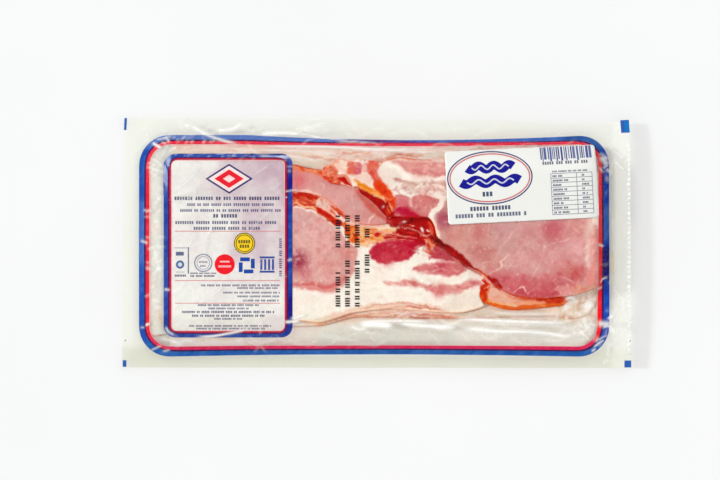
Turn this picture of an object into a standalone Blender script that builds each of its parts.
"""A sealed vacuum pack of back bacon lying on its back, with a paper label stuck to its front.

Metres, +Z up. +X runs along the pack and +Y towards its upper edge. The origin is the
middle of the pack's outline, on the surface that its flat underside rests on.

The pouch is one shut solid: two webs of film welded along a thin flange all round, and
between them the pillow that the stacked rashers fill out. The rashers are shingled, so the
front of the pillow comes down in shallow steps. The label follows the front of the pillow.
"""

import math

import bmesh
import bpy
from mathutils import Matrix, Vector

COLLECTION_NAME = "bacon_pack"

# Outline of the film: a long box that is a little out of square, as cut film is.
FILM_LENGTH = 0.2456
FILM_WIDTH = 0.1210
UPPER_EDGE_FALL = 0.0017      # the upper edge is this much lower at its right end
LEFT_EDGE_LEAN = 0.0010       # the left edge comes in by this much at its upper end
RIGHT_EDGE_LEAN = 0.0007      # and so does the right edge
FLANGE_THICKNESS = 0.0005     # both webs, welded

# Height of the flange's underside over the table, which rises towards the right end.
FLANGE_LIFT_LEFT = 0.0024
FLANGE_LIFT_RIGHT = 0.0054
FLANGE_WAVE = 0.0004          # the free flange isn't quite flat
FLANGE_WAVE_LENGTH = 0.070

# The pillow between the welds, a box with round corners.
PILLOW_CENTRE = (-0.0014, -0.0019)
PILLOW_HALF = (0.1130, 0.0524)
PILLOW_RADIUS = 0.0144
RISE_LEFT = 0.0110            # widths over which the front film climbs on to the rashers,
RISE_RIGHT = 0.0075           # which lie nearest to the right end
RISE_UPPER = 0.0160
RISE_LOWER = 0.0145
BACK_DROP = 0.0060            # width over which the back film comes down to the table

# The rashers under the front film.
LOWER_STACK = 0.0082          # height of the film over the lowest rashers
MIDDLE_LAYER = 0.0014         # what the second rasher adds
FRONT_LAYER = 0.0018          # what the front rasher adds
CROWN = 0.0010                # the stack is a little thicker in its middle
STEP_RUN = 0.0070             # width of each step, softened by the taut film
FRONT_EDGE_POINT = (-0.0130, 0.0373)
FRONT_EDGE_ANGLE = math.radians(-39.8)
FRONT_LAYER_LOWER_EDGE = -0.0260
MIDDLE_EDGE_POINT = (-0.0418, 0.0200)
MIDDLE_EDGE_ANGLE = math.radians(-16.0)
EMPTY_CORNER_POINT = (0.0940, -0.0330)
EMPTY_CORNER_ANGLE = math.radians(33.0)
EMPTY_CORNER_DEPTH = 0.0036   # no rasher reaches the lower right corner
EMPTY_CORNER_RUN = 0.0160

# Cells of the pouch's grid, drawn closer together near the ends by EDGE_PULL.
POUCH_CELLS = (60, 32)
EDGE_PULL = 0.20
SMOOTH_ANGLE = math.radians(40.0)

# The paper label on the front.
LABEL_SIZE = (0.0725, 0.0352)
LABEL_CENTRE = (0.0694, 0.0278)
LABEL_TURN = math.radians(2.8)
LABEL_THICKNESS = 0.0002
LABEL_CORNER_CUT = 0.0004     # the die cuts its corners slightly round
LABEL_GAP = 0.0003            # clearance between the label and the film
LABEL_REACH = 0.0013          # paper is stiff: it lies on the highest film within this reach
LABEL_CELLS = (28, 14)


def smooth_step(value):
    """Ease from 0 to 1 as value goes from 0 to 1."""
    value = min(max(value, 0.0), 1.0)
    return value * value * (3.0 - 2.0 * value)


def mix(low, high, share):
    return low + (high - low) * share


def depth_in_pillow(x, y):
    """Distance from the weld's inner line to a point, positive inside the pillow."""
    over_x = abs(x - PILLOW_CENTRE[0]) - (PILLOW_HALF[0] - PILLOW_RADIUS)
    over_y = abs(y - PILLOW_CENTRE[1]) - (PILLOW_HALF[1] - PILLOW_RADIUS)
    outside = math.hypot(max(over_x, 0.0), max(over_y, 0.0))
    return PILLOW_RADIUS - outside - min(max(over_x, over_y), 0.0)


def side_of_edge(x, y, point, angle):
    """Distance of a place from a straight edge, positive on its left as it runs along angle."""
    return (y - point[1]) * math.cos(angle) - (x - point[0]) * math.sin(angle)


def stack_top(x, y):
    """Height of the film where it lies on the rashers."""
    past_front_edge = side_of_edge(x, y, FRONT_EDGE_POINT, FRONT_EDGE_ANGLE)
    front = smooth_step(past_front_edge / STEP_RUN + 0.5)
    front *= smooth_step((y - FRONT_LAYER_LOWER_EDGE) / STEP_RUN + 0.5)
    past_middle_edge = side_of_edge(x, y, MIDDLE_EDGE_POINT, MIDDLE_EDGE_ANGLE)
    middle = max(smooth_step(past_middle_edge / STEP_RUN + 0.5), front)
    into_corner = -side_of_edge(x, y, EMPTY_CORNER_POINT, EMPTY_CORNER_ANGLE)
    empty = smooth_step(into_corner / EMPTY_CORNER_RUN + 0.5)
    across = (x - PILLOW_CENTRE[0]) / PILLOW_HALF[0]
    along = (y - PILLOW_CENTRE[1]) / PILLOW_HALF[1]
    crown = CROWN * max(0.0, 1.0 - across * across) * max(0.0, 1.0 - along * along)
    return LOWER_STACK + MIDDLE_LAYER * middle + FRONT_LAYER * front + crown - EMPTY_CORNER_DEPTH * empty


def flange_underside(x, y):
    """Height of the free flange, which rises to the right in slow waves."""
    share = 0.5 + x / FILM_LENGTH
    wave = math.sin(2.0 * math.pi * (x + 0.6 * y) / FLANGE_WAVE_LENGTH)
    return mix(FLANGE_LIFT_LEFT, FLANGE_LIFT_RIGHT, share) + FLANGE_WAVE * wave


def front_rise(x, y):
    """How far the front film has climbed on to the rashers, from 0 at the weld to 1."""
    from_x = PILLOW_HALF[0] - abs(x - PILLOW_CENTRE[0])
    from_y = PILLOW_HALF[1] - abs(y - PILLOW_CENTRE[1])
    run_x = RISE_RIGHT if x > PILLOW_CENTRE[0] else RISE_LEFT
    run_y = RISE_UPPER if y > PILLOW_CENTRE[1] else RISE_LOWER
    short_x = min(max(1.0 - from_x / run_x, 0.0), 1.0)
    short_y = min(max(1.0 - from_y / run_y, 0.0), 1.0)
    round_corner = depth_in_pillow(x, y) / min(run_x, run_y)
    return smooth_step(min(1.0 - math.hypot(short_x, short_y), round_corner))


def front_height(x, y):
    return mix(flange_underside(x, y) + FLANGE_THICKNESS, stack_top(x, y), front_rise(x, y))


def back_height(x, y):
    drop = smooth_step(depth_in_pillow(x, y) / BACK_DROP)
    return mix(flange_underside(x, y), 0.0, drop)


def place_in_outline(across, along):
    """Map a grid place, -1 to 1 each way, to the film's outline."""
    across *= 1.0 + EDGE_PULL * (1.0 - across * across)
    along *= 1.0 + EDGE_PULL * (1.0 - along * along)
    height_share = 0.5 + 0.5 * along
    left = -0.5 * FILM_LENGTH + LEFT_EDGE_LEAN * height_share
    right = 0.5 * FILM_LENGTH - RIGHT_EDGE_LEAN * height_share
    length_share = 0.5 + 0.5 * across
    upper = 0.5 * FILM_WIDTH - UPPER_EDGE_FALL * length_share
    lower = -0.5 * FILM_WIDTH
    return mix(left, right, length_share), mix(lower, upper, height_share)


def make_material(name, colour, roughness, alpha=1.0):
    material = bpy.data.materials.new(name)
    material.use_nodes = True
    shader = material.node_tree.nodes["Principled BSDF"]
    shader.inputs["Base Color"].default_value = (*colour, 1.0)
    shader.inputs["Roughness"].default_value = roughness
    shader.inputs["Metallic"].default_value = 0.0
    shader.inputs["Alpha"].default_value = alpha
    return material


def add_object(name, mesh, material, collection):
    obj = bpy.data.objects.new(name, mesh)
    mesh.materials.append(material)
    collection.objects.link(obj)
    return obj


def flatten_base(bm):
    """Join the faces that lie flat on the table into one, and leave the rest as quads."""
    base_edges = [edge for edge in bm.edges
                  if len(edge.link_faces) == 2
                  and all(vert.co.z == 0.0 for face in edge.link_faces for vert in face.verts)]
    bmesh.ops.dissolve_edges(bm, edges=base_edges, use_verts=True)


def make_pouch(collection):
    """Two grids of film, back and front, welded at their rims into one shut solid."""
    bm = bmesh.new()
    bmesh.ops.create_grid(bm, x_segments=POUCH_CELLS[0], y_segments=POUCH_CELLS[1], size=1.0)
    back_verts = list(bm.verts)
    lifted = bmesh.ops.extrude_face_region(bm, geom=list(bm.faces))
    front_verts = [item for item in lifted["geom"] if isinstance(item, bmesh.types.BMVert)]
    for verts, height in ((back_verts, back_height), (front_verts, front_height)):
        for vert in verts:
            x, y = place_in_outline(vert.co.x, vert.co.y)
            vert.co = Vector((x, y, height(x, y)))
    flatten_base(bm)
    bmesh.ops.recalc_face_normals(bm, faces=list(bm.faces))
    mesh = bpy.data.meshes.new("pouch")
    bm.to_mesh(mesh)
    bm.free()
    mesh.shade_smooth()
    mesh.set_sharp_from_angle(angle=SMOOTH_ANGLE)
    film = make_material("clear_film", (0.86, 0.62, 0.57), 0.18, alpha=0.6)
    return add_object("pouch", mesh, film, collection)


def cut_corners(bm):
    """Draw in the four corner points of the label, as its die does."""
    for vert in bm.verts:
        if len(vert.link_faces) == 1:
            vert.co.x -= math.copysign(LABEL_CORNER_CUT, vert.co.x)
            vert.co.y -= math.copysign(LABEL_CORNER_CUT, vert.co.y)


def label_height(x, y):
    """Height of the label's underside, which bridges the film's sharper bends."""
    reach = (-LABEL_REACH, 0.0, LABEL_REACH)
    return LABEL_GAP + max(front_height(x + step_x, y + step_y) for step_x in reach for step_y in reach)


def make_label(collection):
    """A sheet of paper laid down on the front of the pouch."""
    bm = bmesh.new()
    bmesh.ops.create_grid(bm, x_segments=LABEL_CELLS[0], y_segments=LABEL_CELLS[1], size=0.5)
    bmesh.ops.scale(bm, vec=(LABEL_SIZE[0], LABEL_SIZE[1], 1.0), verts=bm.verts)
    cut_corners(bm)
    place = Matrix.Translation((*LABEL_CENTRE, 0.0)) @ Matrix.Rotation(LABEL_TURN, 4, "Z")
    bmesh.ops.transform(bm, verts=bm.verts, matrix=place)
    for vert in bm.verts:
        vert.co.z = label_height(vert.co.x, vert.co.y)
    mesh = bpy.data.meshes.new("front_label")
    bm.to_mesh(mesh)
    bm.free()
    paper = make_material("label_paper", (0.90, 0.90, 0.88), 0.45)
    label = add_object("front_label", mesh, paper, collection)
    thicken = label.modifiers.new("thicken", "SOLIDIFY")
    thicken.thickness = LABEL_THICKNESS
    thicken.offset = 1.0
    return label


def clear_scene():
    for obj in list(bpy.data.objects):
        bpy.data.objects.remove(obj, do_unlink=True)


def build():
    clear_scene()
    collection = bpy.data.collections.new(COLLECTION_NAME)
    bpy.context.scene.collection.children.link(collection)
    make_pouch(collection)
    make_label(collection)


build()
